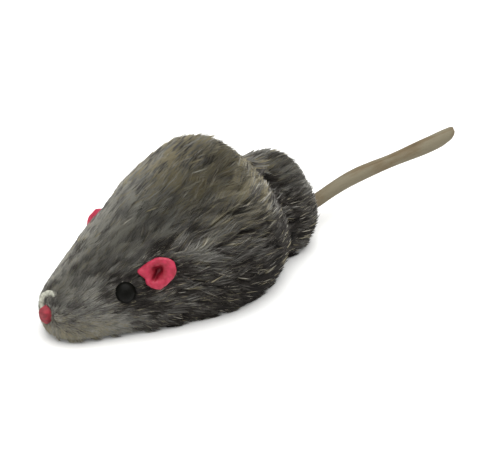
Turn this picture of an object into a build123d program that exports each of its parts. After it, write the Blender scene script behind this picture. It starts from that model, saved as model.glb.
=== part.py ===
import math
import os

from build123d import *

os.makedirs("parts", exist_ok=True)

# Clockwork mouse in mm: nose along +X, left flank along +Y, origin on the floor under the drive axle.

# Overall sizes
body_length = 80.0
body_width = 40.8
body_height = 36.0
floor_gap = 1.5
fur_depth = 3.0
shell_wall = 1.2

# Trim sizes
eye_diameter = 5.4
ear_length = 9.2
ear_width = 7.0
ear_depth = 4.0
ear_thickness = 0.9
nose_diameter = 3.6
nose_peg_diameter = 1.4
nose_peg_length = 8.6
shank_diameter = 1.6
washer_thickness = 0.5
tail_length = 47.0
tail_width = 3.6
tail_thickness = 3.3
tail_anchor = 6.8

# Motor sizes
wheel_diameter = 16.0
wheel_width = 3.4
tyre_thickness = 1.6
hub_rim = 1.0
hub_boss_wall = 1.1
hub_boss_length = 0.6
hub_dish_depth = 1.0
axle_diameter = 2.0
edge_round = 0.5
gear_module = 0.5
gear_face = 1.4
middle_face = 1.26
pinion_extra = 0.15
pinion_teeth = 10
drive_train_teeth = 20
middle_train_teeth = 26
great_teeth = 30
plate_thickness = 0.9
plate_gap = 9.8
bearing_boss = 3.2
staff_diameter = 1.8
pivot_diameter = 1.1
chassis_thickness = 1.6
foot_length = 4.0
foot_reach = 2.2
screw_diameter = 1.2
screw_head_diameter = 2.2
screw_head_height = 0.6
screw_end = 0.6
spring_strip = 0.3
spring_width = 4.0
spring_turns = 8
arbor_diameter = 2.4
arbor_collar = 0.4
arbor_end = 1.0
pillar_diameter = 3.0
pillar_margin = 0.9
pillar_pin_diameter = 1.5
pillar_head_diameter = 2.4
rivet_height = 0.3
ratchet_teeth = 12
ratchet_radius = 3.4
ratchet_tooth_depth = 0.7
ratchet_thickness = 0.8
click_radius = 5.2
click_pin_diameter = 1.0
click_head_diameter = 1.7
click_head_height = 0.25
click_wire = 0.36
click_post_diameter = 0.8
roller_diameter = 8.0
roller_width = 4.4
roller_block = 2.2
key_span = 12.0
key_depth = 5.5
key_thickness = 1.2
key_corner = 2.3
key_hole_diameter = 2.2
key_hole_spacing = 7.2
key_sleeve_wall = 0.6
key_sleeve_length = 4.5
key_sleeve_floor = 0.5

# Fits
running_clearance = 0.05
end_shake = 0.1
layer_gap = 0.1
opening_clearance = 0.8
click_clearance = 0.1
spring_clearance = 0.4
key_clearance = 0.9
head_clearance = 0.1
shank_grip = 1.6

# Gear form, as shares of the module
pressure_angle = math.radians(25)
wheel_addendum = 0.75
pinion_addendum = 0.85
dedendum = 1.05
tooth_thinning = 0.14

# Stations from nose to rump: share of the length, half width as a share of the width,
# then top, widest level and underside as shares of the height.
body_stations = [
    (0.018, 0.062, 0.268, 0.200, 0.120),
    (0.038, 0.125, 0.335, 0.180, 0.020),
    (0.075, 0.182, 0.398, 0.170, -0.040),
    (0.150, 0.245, 0.500, 0.190, -0.080),
    (0.250, 0.325, 0.635, 0.232, -0.140),
    (0.350, 0.402, 0.780, 0.270, -0.200),
    (0.450, 0.462, 0.890, 0.300, -0.240),
    (0.540, 0.500, 0.972, 0.320, -0.250),
    (0.612, 0.498, 1.000, 0.320, -0.240),
    (0.688, 0.465, 0.925, 0.306, -0.210),
    (0.750, 0.400, 0.780, 0.278, -0.170),
    (0.800, 0.320, 0.610, 0.250, -0.120),
    (0.835, 0.220, 0.460, 0.240, -0.040),
]
rump_stations = [
    (0.680, 0.250, 0.560, 0.250, -0.160),
    (0.775, 0.296, 0.590, 0.250, -0.160),
    (0.850, 0.310, 0.635, 0.250, -0.150),
    (0.912, 0.303, 0.635, 0.245, -0.120),
    (0.962, 0.250, 0.555, 0.235, -0.060),
    (0.990, 0.180, 0.430, 0.222, 0.020),
    (1.003, 0.090, 0.300, 0.222, 0.110),
]
rump_offset = -0.06 * body_width

# Places on the body: shares of the length from the nose, of the width from the middle, of the height
axle_station = 0.46
eye_station = (0.212, 0.273, 0.365)
left_ear_station = (0.310, 0.330, 0.475)
right_ear_station = (0.335, 0.288, 0.430)
nose_level = 0.212
tail_level_share = 0.135
roller_station = 0.83

axle_setback = axle_station * body_length

# Places in the motor, in modules behind and above the axle, or behind the great wheel
great_offset = (26, 10)
low_pillar_offset = 11
front_pillar_offset = (-19, 10)
rear_pillar_offset = 20.4

# The least half size of a section that is still lofted, and a block that holds the whole mouse
least_section = 0.8
block = 4 * (body_length + body_width + body_height)


def side(y, place=(0, 0), turn=0.0):
    """Plane at y about a place, its sketch axes forward and up, turned by the angle; it faces right."""
    return Plane(
        origin=(place[0], y, place[1]),
        x_dir=(math.cos(turn), 0, math.sin(turn)),
        z_dir=(0, -1, 0),
    )


def loft_form(stations, inset, centre_y):
    """Lofted body of ellipse-topped sections, shrunk by the inset all round."""
    with BuildPart() as form:
        for share, half, top, level, low in stations:
            half_width = half * body_width - inset
            rise = (top - level) * body_height - inset
            drop = (level - low) * body_height - inset
            if inset > 0 and min(half_width, rise, drop) < least_section:
                continue
            x = axle_setback - share * body_length - inset * (1 - 2 * share)
            with BuildSketch(Plane.YZ.offset(x)):
                with BuildLine():
                    centre = (centre_y, level * body_height)
                    EllipticalCenterArc(centre, half_width, rise, start_angle=0, arc_size=180)
                    EllipticalCenterArc(centre, half_width, drop, start_angle=180, arc_size=180)
                make_face()
        loft()
    return form.part


def body_form(inset):
    """Body and rump together at the given inset, cut level at the floor gap."""
    front = loft_form(body_stations, inset, 0)
    rear = loft_form(rump_stations, inset, rump_offset)
    with BuildPart() as form:
        add(front)
        add(rear)
        with Locations((0, 0, floor_gap)):
            Box(block, block, block, align=(Align.CENTER, Align.CENTER, Align.MIN), mode=Mode.INTERSECT)
    return form.part


def involute(angle):
    return math.tan(angle) - angle


def tooth_outline(teeth, phase, addendum):
    """Gear outline with a tooth centred on the phase angle and two straight cuts to each flank."""
    pitch_radius = teeth * gear_module / 2
    base_radius = pitch_radius * math.cos(pressure_angle)
    tip_radius = pitch_radius + addendum * gear_module
    root_radius = pitch_radius - dedendum * gear_module
    tooth_half = (math.pi / 4 - tooth_thinning) * gear_module / pitch_radius
    levels = [root_radius, max(base_radius, root_radius + running_clearance), pitch_radius, tip_radius]
    points = []
    for tooth in range(teeth):
        middle = phase + tooth * 2 * math.pi / teeth
        for turn, radii in ((-1, levels), (1, levels[::-1])):
            for radius in radii:
                opening = math.acos(base_radius / max(radius, base_radius))
                flank = involute(pressure_angle) - involute(opening)
                angle = middle + turn * (tooth_half + flank)
                points.append((radius * math.cos(angle), radius * math.sin(angle)))
    return points


def meshed_phase(centre, phase, teeth, mate_centre, mate_teeth):
    """Tooth angle of the mate that puts one of its gaps over a tooth of this gear."""
    line = math.atan2(mate_centre[1] - centre[1], mate_centre[0] - centre[0])
    share = (line - phase) * teeth / (2 * math.pi)
    return line + math.pi + (share + 0.5) * 2 * math.pi / mate_teeth


def gear_distance(teeth):
    return (teeth + pinion_teeth) * gear_module / 2


# Train layout, as forward and up places
chassis_top = floor_gap + chassis_thickness
axle_place = (0, wheel_diameter / 2)
second_angle = math.radians(74)
second_distance = gear_distance(drive_train_teeth)
second_place = (
    axle_place[0] + second_distance * math.cos(second_angle),
    axle_place[1] + second_distance * math.sin(second_angle),
)
great_place = (
    axle_place[0] - great_offset[0] * gear_module,
    axle_place[1] + great_offset[1] * gear_module,
)
span_x = great_place[0] - second_place[0]
span_z = great_place[1] - second_place[1]
span = math.hypot(span_x, span_z)
along = (gear_distance(middle_train_teeth) ** 2 - gear_distance(great_teeth) ** 2 + span**2) / (2 * span)
across = math.sqrt(gear_distance(middle_train_teeth) ** 2 - along**2)
first_place = (
    second_place[0] + (along * span_x + across * span_z) / span,
    second_place[1] + (along * span_z - across * span_x) / span,
)
rear_pillar = (great_place[0] - rear_pillar_offset * gear_module, great_place[1])
low_pillar = (
    axle_place[0] - low_pillar_offset * gear_module,
    chassis_top + pillar_diameter / 2 + pillar_margin,
)
front_pillar = (
    axle_place[0] - front_pillar_offset[0] * gear_module,
    axle_place[1] + front_pillar_offset[1] * gear_module,
)
pillar_places = [rear_pillar, low_pillar, front_pillar]

# Layers across the motor, left positive
plate_inner = plate_gap / 2
plate_outer = plate_inner + plate_thickness
great_right = layer_gap
great_left = great_right + gear_face
ratchet_right = great_left + layer_gap
ratchet_left = ratchet_right + ratchet_thickness
middle_right = ratchet_left + click_head_height + 1.5 * layer_gap
middle_left = middle_right + middle_face
spring_left = great_right - spring_clearance
hub_radius = wheel_diameter / 2 - tyre_thickness
wheel_inner = plate_outer + end_shake + hub_boss_length
wheel_outer = wheel_inner + wheel_width
roller_place = (axle_setback - roller_station * body_length, roller_diameter / 2)
roller_y = 0.5 * rump_offset

# Body skins
outer_form = body_form(0)
shell_form = body_form(fur_depth)
cavity_form = body_form(fur_depth + shell_wall)

# Eyes, each a bead on a shank with a washer inside the shell
eye_sink = 0.2 * eye_diameter
right_eye_sink = 0.36 * eye_diameter
right_eye_drop = 1.8
shank_length = fur_depth + shell_wall + shank_grip
eye_x = axle_setback - eye_station[0] * body_length
eye_y = eye_station[1] * body_width
eye_z = eye_station[2] * body_height
left_eye_plane = Plane(
    origin=(eye_x, eye_y, eye_z),
    z_dir=(0.35, 0.86, 0.38),
).offset(-eye_sink)
right_eye_plane = Plane(
    origin=(eye_x, -eye_y, eye_z - right_eye_drop),
    z_dir=(0.35, -0.86, 0.38),
).offset(-right_eye_sink)


def bead(plane):
    """Eye bead with a flat back and a shank running inwards."""
    with BuildPart(plane) as form:
        Sphere(eye_diameter / 2)
        with Locations((0, 0, -eye_diameter / 4)):
            Box(
                eye_diameter,
                eye_diameter,
                eye_diameter,
                align=(Align.CENTER, Align.CENTER, Align.MAX),
                mode=Mode.SUBTRACT,
            )
        Cylinder(shank_diameter / 2, shank_length, align=(Align.CENTER, Align.CENTER, Align.MAX))
    return form.part


with BuildPart() as left_eye:
    add(bead(left_eye_plane))
left_eye.part.label = "left_eye"
export_step(left_eye.part, "parts/left_eye.step")

with BuildPart() as right_eye:
    add(bead(right_eye_plane))
right_eye.part.label = "right_eye"
export_step(right_eye.part, "parts/right_eye.step")

with BuildPart() as eye_washers:
    for plane in (left_eye_plane, right_eye_plane):
        with Locations(plane.offset(-shank_length).location):
            Cylinder(shank_diameter, washer_thickness, align=(Align.CENTER, Align.CENTER, Align.MIN))
            Cylinder(shank_diameter / 2, 3 * washer_thickness, mode=Mode.SUBTRACT)
eye_washers.part.label = "eye_washers"
export_step(eye_washers.part, "parts/eye_washers.step")

# Nose, a small knob on a peg
nose_place = (axle_setback - 0.42 * nose_diameter, 0, nose_level * body_height)

with BuildPart() as nose:
    with Locations(nose_place):
        Sphere(nose_diameter / 2)
        with Locations(Rotation(0, -90, 0)):
            Cylinder(nose_peg_diameter / 2, nose_peg_length, align=(Align.CENTER, Align.CENTER, Align.MIN))
nose.part.label = "nose"
export_step(nose.part, "parts/nose.step")

# Ears, each an oval cup let into the fur behind an eye
left_ear_plane = Plane(
    origin=(
        axle_setback - left_ear_station[0] * body_length,
        left_ear_station[1] * body_width,
        left_ear_station[2] * body_height,
    ),
    x_dir=(-1, 1, 0.2),
    z_dir=(0.62, 0.62, 0.48),
).offset(-0.5 * ear_depth)
right_ear_plane = Plane(
    origin=(
        axle_setback - right_ear_station[0] * body_length,
        -right_ear_station[1] * body_width,
        right_ear_station[2] * body_height,
    ),
    x_dir=(-1, -1, 0.2),
    z_dir=(0.7, -0.42, 0.58),
).offset(-0.65 * ear_depth)


def ear_form(plane, inset):
    """Oval cup swelling from its root to its rim, shrunk by the inset and lifted by as much."""
    with BuildPart() as form:
        for level, share in ((0.0, 0.35), (0.5, 0.82), (1.0, 1.0)):
            with BuildSketch(plane.offset(level * ear_depth + inset)):
                Ellipse(share * ear_length / 2 - inset, share * ear_width / 2 - inset)
        loft()
    return form.part


left_ear_form = ear_form(left_ear_plane, 0)
left_ear_hollow = ear_form(left_ear_plane, ear_thickness)
right_ear_form = ear_form(right_ear_plane, 0)
right_ear_hollow = ear_form(right_ear_plane, ear_thickness)

with BuildPart() as left_ear:
    add(left_ear_form)
    add(left_ear_hollow, mode=Mode.SUBTRACT)
left_ear.part.label = "left_ear"
export_step(left_ear.part, "parts/left_ear.step")

with BuildPart() as right_ear:
    add(right_ear_form)
    add(right_ear_hollow, mode=Mode.SUBTRACT)
right_ear.part.label = "right_ear"
export_step(right_ear.part, "parts/right_ear.step")

# Tail, a rolled strip; its course gives shares of its length and the rise at each
tail_root = axle_setback - body_length
tail_inner = tail_root + tail_anchor
tail_y = 0.35 * rump_offset
tail_level = tail_level_share * body_height
tail_course = [(0.0, 0.4), (0.28, 3.2), (0.58, 3.5), (0.82, 3.4), (0.99, 4.2)]

with BuildPart() as tail:
    with BuildLine() as tail_line:
        Spline(
            (tail_inner, tail_y, tail_level),
            *[(tail_root - share * tail_length, tail_y, tail_level + rise) for share, rise in tail_course],
            tangents=[(-1, 0, 0), (-1, 0, 0.25)],
        )
    with BuildSketch(Plane(origin=(tail_inner, tail_y, tail_level), x_dir=(0, 1, 0), z_dir=(-1, 0, 0))):
        Ellipse(tail_width / 2, tail_thickness / 2)
    sweep()
tail.part.label = "tail"
export_step(tail.part, "parts/tail.step")

# Openings through hide and shell
wheel_opening = wheel_diameter + 2 * opening_clearance
wheel_middle = (wheel_inner + wheel_outer) / 2
sleeve_radius = arbor_diameter / 2 + key_sleeve_wall

with BuildPart() as openings:
    for flank in (1, -1):
        with BuildSketch(side(flank * wheel_middle + wheel_width / 2 + opening_clearance, axle_place)):
            Circle(wheel_opening / 2)
        extrude(amount=wheel_width + 2 * opening_clearance)
    with BuildSketch(side(roller_y + roller_width / 2 + opening_clearance, roller_place)):
        Circle(roller_diameter / 2 + opening_clearance)
    extrude(amount=roller_width + 2 * opening_clearance)
    with BuildSketch(side(-plate_outer, great_place)):
        Circle(sleeve_radius + opening_clearance)
    extrude(amount=body_width)

with BuildPart() as fur_cover:
    add(outer_form)
    add(shell_form, mode=Mode.SUBTRACT)
    add(openings.part, mode=Mode.SUBTRACT)
    add(left_eye.part, mode=Mode.SUBTRACT)
    add(right_eye.part, mode=Mode.SUBTRACT)
    add(nose.part, mode=Mode.SUBTRACT)
    add(tail.part, mode=Mode.SUBTRACT)
    add(left_ear_form, mode=Mode.SUBTRACT)
    add(right_ear_form, mode=Mode.SUBTRACT)
fur_cover.part.label = "fur_cover"
export_step(fur_cover.part, "parts/fur_cover.step")

with BuildPart() as body_shell:
    add(shell_form)
    add(cavity_form, mode=Mode.SUBTRACT)
    add(openings.part, mode=Mode.SUBTRACT)
    add(left_eye.part, mode=Mode.SUBTRACT)
    add(right_eye.part, mode=Mode.SUBTRACT)
    add(nose.part, mode=Mode.SUBTRACT)
    add(tail.part, mode=Mode.SUBTRACT)
    add(left_ear_form, mode=Mode.SUBTRACT)
    add(right_ear_form, mode=Mode.SUBTRACT)
body_shell.part.label = "body_shell"
export_step(body_shell.part, "parts/body_shell.step")

# Chassis, a plate snapped into the mouth of the shell, with feet places for the motor
foot_places = [
    (axle_place[0] + wheel_diameter / 2 + 0.5 * foot_length, 1),
    (axle_place[0] - wheel_diameter / 2 - 0.9 * foot_length, 1),
    (axle_place[0] + wheel_diameter / 2 + 0.5 * foot_length, -1),
    (axle_place[0] - wheel_diameter / 2 - 0.9 * foot_length, -1),
]
screw_places = [(x, flank * (plate_outer + foot_reach / 2)) for x, flank in foot_places]
roller_wall = roller_width / 2 + end_shake

with BuildPart() as chassis:
    add(cavity_form)
    with Locations((0, 0, chassis_top)):
        Box(block, block, block, align=(Align.CENTER, Align.CENTER, Align.MIN), mode=Mode.SUBTRACT)
    for wall_left in (roller_wall + shell_wall, -roller_wall):
        with BuildSketch(side(roller_y + wall_left)):
            with Locations((roller_place[0], floor_gap)):
                Rectangle(
                    2 * roller_block,
                    roller_place[1] - floor_gap + roller_block,
                    align=(Align.CENTER, Align.MIN),
                )
        extrude(amount=shell_wall)
    add(openings.part, mode=Mode.SUBTRACT)
    with BuildSketch(side(roller_y + roller_wall + 2 * shell_wall, roller_place)):
        Circle(axle_diameter / 2)
    extrude(amount=2 * roller_wall + 4 * shell_wall, mode=Mode.SUBTRACT)
    with BuildSketch(Plane.XY):
        with Locations(screw_places):
            Circle(screw_diameter / 2)
    extrude(amount=2 * chassis_top, mode=Mode.SUBTRACT)
    with BuildSketch(Plane.XY):
        with Locations(screw_places):
            Circle(screw_head_diameter / 2 + head_clearance)
    extrude(amount=floor_gap + screw_head_height, mode=Mode.SUBTRACT)
chassis.part.label = "chassis"
export_step(chassis.part, "parts/chassis.step")

with BuildPart() as roller_pin:
    with BuildSketch(side(roller_y + roller_wall + shell_wall, roller_place)):
        Circle(axle_diameter / 2)
    extrude(amount=2 * (roller_wall + shell_wall))
roller_pin.part.label = "roller_pin"
export_step(roller_pin.part, "parts/roller_pin.step")

with BuildPart() as rear_roller:
    with BuildSketch(side(roller_y + roller_width / 2, roller_place)):
        Circle(roller_diameter / 2)
        Circle(axle_diameter / 2 + running_clearance, mode=Mode.SUBTRACT)
    extrude(amount=roller_width)
    fillet(rear_roller.edges().filter_by(GeomType.CIRCLE).sort_by(SortBy.RADIUS)[-2:], edge_round)
rear_roller.part.label = "rear_roller"
export_step(rear_roller.part, "parts/rear_roller.step")

# Motor frame
with BuildPart() as left_motor_plate:
    with BuildSketch(side(plate_outer)):
        with Locations(*pillar_places):
            Circle(pillar_diameter / 2 + pillar_margin)
        with Locations(first_place):
            Circle(bearing_boss)
        with Locations(axle_place):
            Circle(axle_place[1] - chassis_top)
        make_hull()
    extrude(amount=plate_thickness)
    for x, flank in foot_places[:2]:
        with Locations((x, plate_inner, chassis_top)):
            Box(
                foot_length,
                plate_thickness + foot_reach,
                plate_thickness,
                align=(Align.CENTER, Align.MIN, Align.MIN),
            )
        with Locations((x, plate_inner, chassis_top)):
            Box(
                foot_length,
                plate_thickness,
                great_place[1] - chassis_top,
                align=(Align.CENTER, Align.MIN, Align.MIN),
            )
    with BuildSketch(Plane.XY):
        with Locations(screw_places):
            Circle(screw_diameter / 2)
    extrude(amount=2 * chassis_top, mode=Mode.SUBTRACT)
    with BuildSketch(side(plate_outer)):
        with Locations(axle_place):
            Circle(axle_diameter / 2 + running_clearance)
        with Locations(great_place):
            Circle(arbor_diameter / 2 + running_clearance)
        with Locations(first_place, second_place):
            Circle(pivot_diameter / 2 + running_clearance)
        with Locations(*pillar_places):
            Circle(pillar_pin_diameter / 2)
    extrude(amount=plate_thickness, mode=Mode.SUBTRACT)
left_motor_plate.part.label = "left_motor_plate"
export_step(left_motor_plate.part, "parts/left_motor_plate.step")

with BuildPart() as right_motor_plate:
    mirror(left_motor_plate.part, about=Plane.XZ)
right_motor_plate.part.label = "right_motor_plate"
export_step(right_motor_plate.part, "parts/right_motor_plate.step")

with BuildPart() as motor_pillars:
    with BuildSketch(side(plate_inner)):
        with Locations(*pillar_places):
            Circle(pillar_diameter / 2)
    extrude(amount=plate_gap)
    with BuildSketch(side(plate_outer)):
        with Locations(*pillar_places):
            Circle(pillar_pin_diameter / 2)
    extrude(amount=2 * plate_outer)
    for y in (plate_outer + rivet_height, -plate_outer):
        with BuildSketch(side(y)):
            with Locations(*pillar_places):
                Circle(pillar_head_diameter / 2)
        extrude(amount=rivet_height)
motor_pillars.part.label = "motor_pillars"
export_step(motor_pillars.part, "parts/motor_pillars.step")

with BuildPart() as chassis_screws:
    with BuildSketch(Plane.XY.offset(floor_gap)):
        with Locations(screw_places):
            Circle(screw_head_diameter / 2)
    extrude(amount=screw_head_height)
    with BuildSketch(Plane.XY.offset(floor_gap)):
        with Locations(screw_places):
            Circle(screw_diameter / 2)
    extrude(amount=chassis_thickness + plate_thickness + screw_end)
chassis_screws.part.label = "chassis_screws"
export_step(chassis_screws.part, "parts/chassis_screws.step")

# Mainspring, half turns of growing radius from the arbor out to the rear pillar
spring_start = arbor_diameter / 2 + arbor_collar + spring_strip / 2 + running_clearance
spring_end = great_place[0] - rear_pillar[0] - pillar_diameter / 2 - spring_strip / 2
half_turns = 2 * spring_turns
spring_growth = (spring_end - spring_start) / half_turns

with BuildPart() as mainspring:
    with BuildSketch(side(spring_left, great_place)):
        with BuildLine():
            for edge in (spring_strip / 2, -spring_strip / 2):
                for half_turn in range(half_turns):
                    facing = -1 if half_turn % 2 == 0 else 1
                    near = spring_start + half_turn * spring_growth
                    centre = (-facing * spring_growth / 2, 0)
                    radius = near + spring_growth / 2 + edge
                    CenterArc(centre, radius, 0 if facing > 0 else 180, 180)
            for end in (spring_start, spring_end):
                Line((-end - spring_strip / 2, 0), (-end + spring_strip / 2, 0))
        make_face()
    extrude(amount=spring_width)
mainspring.part.label = "mainspring"
export_step(mainspring.part, "parts/mainspring.step")

# Winder: arbor, ratchet wheel and key turn as one
click_angle = math.radians(160)
nose_angle = math.radians(36)
ratchet_phase = click_angle - nose_angle - math.radians(7)
wings_y = -body_width / 2 - key_clearance
wings_plane = Plane.XY.offset(great_place[1] - key_thickness / 2)

with BuildPart() as winding_arbor:
    with BuildSketch(side(plate_outer + arbor_end, great_place)):
        Circle(arbor_diameter / 2)
    extrude(amount=plate_outer + arbor_end - key_sleeve_floor - wings_y)
    with BuildSketch(side(spring_left, great_place)):
        Circle(arbor_diameter / 2 + arbor_collar)
    extrude(amount=spring_width)
winding_arbor.part.label = "winding_arbor"
export_step(winding_arbor.part, "parts/winding_arbor.step")

ratchet_points = []
for tooth in range(ratchet_teeth):
    start = ratchet_phase + tooth * 2 * math.pi / ratchet_teeth
    for radius in (ratchet_radius, ratchet_radius - ratchet_tooth_depth):
        ratchet_points.append((radius * math.cos(start), radius * math.sin(start)))

with BuildPart() as ratchet_wheel:
    with BuildSketch(side(ratchet_left, great_place)):
        Polygon(*ratchet_points, align=None)
        Circle(arbor_diameter / 2, mode=Mode.SUBTRACT)
    extrude(amount=ratchet_thickness)
ratchet_wheel.part.label = "ratchet_wheel"
export_step(ratchet_wheel.part, "parts/ratchet_wheel.step")

with BuildPart() as winding_key:
    with BuildSketch(side(wings_y + key_sleeve_length, great_place)):
        Circle(sleeve_radius)
    extrude(amount=key_sleeve_length)
    with BuildSketch(wings_plane):
        with Locations((great_place[0], wings_y - key_depth / 2)):
            RectangleRounded(key_span, key_depth, key_corner)
            with GridLocations(key_hole_spacing, 0, 2, 1):
                Circle(key_hole_diameter / 2, mode=Mode.SUBTRACT)
    extrude(amount=key_thickness)
    with BuildSketch(side(wings_y + key_sleeve_length, great_place)):
        Circle(arbor_diameter / 2)
    extrude(amount=key_sleeve_length - key_sleeve_floor, mode=Mode.SUBTRACT)
winding_key.part.label = "winding_key"
export_step(winding_key.part, "parts/winding_key.step")

# Gear train, phased so every pair meshes at rest
axle_phase = 0.0
second_phase = meshed_phase(axle_place, axle_phase, pinion_teeth, second_place, drive_train_teeth)
first_phase = meshed_phase(second_place, second_phase, pinion_teeth, first_place, middle_train_teeth)
great_phase = meshed_phase(first_place, first_phase, pinion_teeth, great_place, great_teeth)

# Click, pivoted on the great wheel with its nose beside the ratchet teeth
click_place = (
    great_place[0] + click_radius * math.cos(click_angle),
    great_place[1] + click_radius * math.sin(click_angle),
)
nose_reach = ratchet_radius + click_clearance

with BuildPart() as click_rivet:
    with BuildSketch(side(ratchet_left + layer_gap / 2, click_place)):
        Circle(click_pin_diameter / 2)
    extrude(amount=ratchet_left + layer_gap / 2 - great_right)
    with BuildSketch(side(ratchet_left + layer_gap / 2 + click_head_height, click_place)):
        Circle(click_head_diameter / 2)
    extrude(amount=click_head_height)
click_rivet.part.label = "click_rivet"
export_step(click_rivet.part, "parts/click_rivet.step")

with BuildPart() as click:
    with BuildSketch(side(ratchet_left, great_place, click_angle)):
        with BuildLine():
            Polyline(
                (click_radius + 1, 0.6),
                (click_radius + 1, -0.9),
                (click_radius - 1, -1.6),
                (nose_reach * math.cos(nose_angle + 0.08), -nose_reach * math.sin(nose_angle + 0.08)),
                (nose_reach * math.cos(nose_angle - 0.08), -nose_reach * math.sin(nose_angle - 0.08)),
                (click_radius - 1, -0.3),
                (click_radius - 0.8, 0.6),
                close=True,
            )
        make_face()
        with Locations((click_radius, 0)):
            Circle(click_pin_diameter / 2 + running_clearance, mode=Mode.SUBTRACT)
    extrude(amount=ratchet_thickness)
click.part.label = "click"
export_step(click.part, "parts/click.step")

# Spring wire that holds the click down, standing on a post in the great wheel
post_turn = 0.95
post_reach = click_radius + 0.9
post_place = (post_reach * math.cos(post_turn), -post_reach * math.sin(post_turn))
wire_tip = (click_radius - 0.2, -1.75)

with BuildPart() as click_spring:
    with BuildLine(side((ratchet_left + ratchet_right) / 2, great_place, click_angle)) as spring_wire:
        RadiusArc(post_place, wire_tip, -3 * click_radius)
    with BuildSketch(Plane(spring_wire.line @ 0, z_dir=spring_wire.line % 0)):
        Circle(click_wire / 2)
    sweep()
    with BuildSketch(side(ratchet_left, great_place, click_angle)):
        with Locations(post_place):
            Circle(click_post_diameter / 2)
    extrude(amount=ratchet_left - great_right)
click_spring.part.label = "click_spring"
export_step(click_spring.part, "parts/click_spring.step")

with BuildPart() as great_wheel:
    with BuildSketch(side(great_left, great_place)):
        Polygon(*tooth_outline(great_teeth, great_phase, wheel_addendum), align=None)
        Circle(arbor_diameter / 2 + running_clearance, mode=Mode.SUBTRACT)
    extrude(amount=gear_face)
    with BuildSketch(side(great_left, great_place, click_angle)):
        with Locations((click_radius, 0)):
            Circle(click_pin_diameter / 2)
        with Locations(post_place):
            Circle(click_post_diameter / 2)
    extrude(amount=gear_face, mode=Mode.SUBTRACT)
great_wheel.part.label = "great_wheel"
export_step(great_wheel.part, "parts/great_wheel.step")

with BuildPart() as first_staff:
    with BuildSketch(side(plate_inner - end_shake, first_place)):
        Circle(staff_diameter / 2)
    extrude(amount=plate_gap - 2 * end_shake)
    with BuildSketch(side(plate_outer, first_place)):
        Circle(pivot_diameter / 2)
    extrude(amount=2 * plate_outer)
    with BuildSketch(side(great_left + pinion_extra, first_place)):
        Polygon(*tooth_outline(pinion_teeth, first_phase, pinion_addendum), align=None)
    extrude(amount=gear_face + 2 * pinion_extra)
first_staff.part.label = "first_staff"
export_step(first_staff.part, "parts/first_staff.step")

with BuildPart() as first_wheel:
    with BuildSketch(side(middle_left, first_place)):
        Polygon(*tooth_outline(middle_train_teeth, first_phase, wheel_addendum), align=None)
        Circle(staff_diameter / 2, mode=Mode.SUBTRACT)
    extrude(amount=middle_left - middle_right)
first_wheel.part.label = "first_wheel"
export_step(first_wheel.part, "parts/first_wheel.step")

with BuildPart() as second_staff:
    with BuildSketch(side(plate_inner - end_shake, second_place)):
        Circle(staff_diameter / 2)
    extrude(amount=plate_gap - 2 * end_shake)
    with BuildSketch(side(plate_outer, second_place)):
        Circle(pivot_diameter / 2)
    extrude(amount=2 * plate_outer)
    with BuildSketch(side(middle_left + pinion_extra, second_place)):
        Polygon(*tooth_outline(pinion_teeth, second_phase, pinion_addendum), align=None)
    extrude(amount=middle_left - middle_right + 2 * pinion_extra)
second_staff.part.label = "second_staff"
export_step(second_staff.part, "parts/second_staff.step")

with BuildPart() as second_wheel:
    with BuildSketch(side(great_left, second_place)):
        Polygon(*tooth_outline(drive_train_teeth, second_phase, wheel_addendum), align=None)
        Circle(staff_diameter / 2, mode=Mode.SUBTRACT)
    extrude(amount=gear_face)
second_wheel.part.label = "second_wheel"
export_step(second_wheel.part, "parts/second_wheel.step")

# Drive axle with its pinion, hubs and tyres
with BuildPart() as drive_axle:
    with BuildSketch(side(wheel_outer, axle_place)):
        Circle(axle_diameter / 2)
    extrude(amount=2 * wheel_outer)
drive_axle.part.label = "drive_axle"
export_step(drive_axle.part, "parts/drive_axle.step")

with BuildPart() as axle_pinion:
    with BuildSketch(side(great_left + pinion_extra, axle_place)):
        Polygon(*tooth_outline(pinion_teeth, axle_phase, pinion_addendum), align=None)
        Circle(axle_diameter / 2, mode=Mode.SUBTRACT)
    extrude(amount=gear_face + 2 * pinion_extra)
axle_pinion.part.label = "axle_pinion"
export_step(axle_pinion.part, "parts/axle_pinion.step")

with BuildPart() as left_wheel_hub:
    with BuildSketch(side(wheel_outer, axle_place)):
        Circle(hub_radius)
        Circle(axle_diameter / 2, mode=Mode.SUBTRACT)
    extrude(amount=wheel_width)
    with BuildSketch(side(wheel_outer, axle_place)):
        Circle(hub_radius - hub_rim)
        Circle(axle_diameter / 2 + hub_boss_wall, mode=Mode.SUBTRACT)
    extrude(amount=hub_dish_depth, mode=Mode.SUBTRACT)
    with BuildSketch(side(wheel_inner, axle_place)):
        Circle(axle_diameter / 2 + hub_boss_wall)
        Circle(axle_diameter / 2, mode=Mode.SUBTRACT)
    extrude(amount=hub_boss_length)
left_wheel_hub.part.label = "left_wheel_hub"
export_step(left_wheel_hub.part, "parts/left_wheel_hub.step")

with BuildPart() as left_tyre:
    with BuildSketch(side(wheel_outer, axle_place)):
        Circle(wheel_diameter / 2)
        Circle(hub_radius, mode=Mode.SUBTRACT)
    extrude(amount=wheel_width)
    fillet(left_tyre.edges().filter_by(GeomType.CIRCLE).sort_by(SortBy.RADIUS)[-2:], edge_round)
left_tyre.part.label = "left_tyre"
export_step(left_tyre.part, "parts/left_tyre.step")

with BuildPart() as right_wheel_hub:
    mirror(left_wheel_hub.part, about=Plane.XZ)
right_wheel_hub.part.label = "right_wheel_hub"
export_step(right_wheel_hub.part, "parts/right_wheel_hub.step")

with BuildPart() as right_tyre:
    mirror(left_tyre.part, about=Plane.XZ)
right_tyre.part.label = "right_tyre"
export_step(right_tyre.part, "parts/right_tyre.step")
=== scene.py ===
import math
from functools import partial

import bpy
from mathutils import Matrix, Vector


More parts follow.
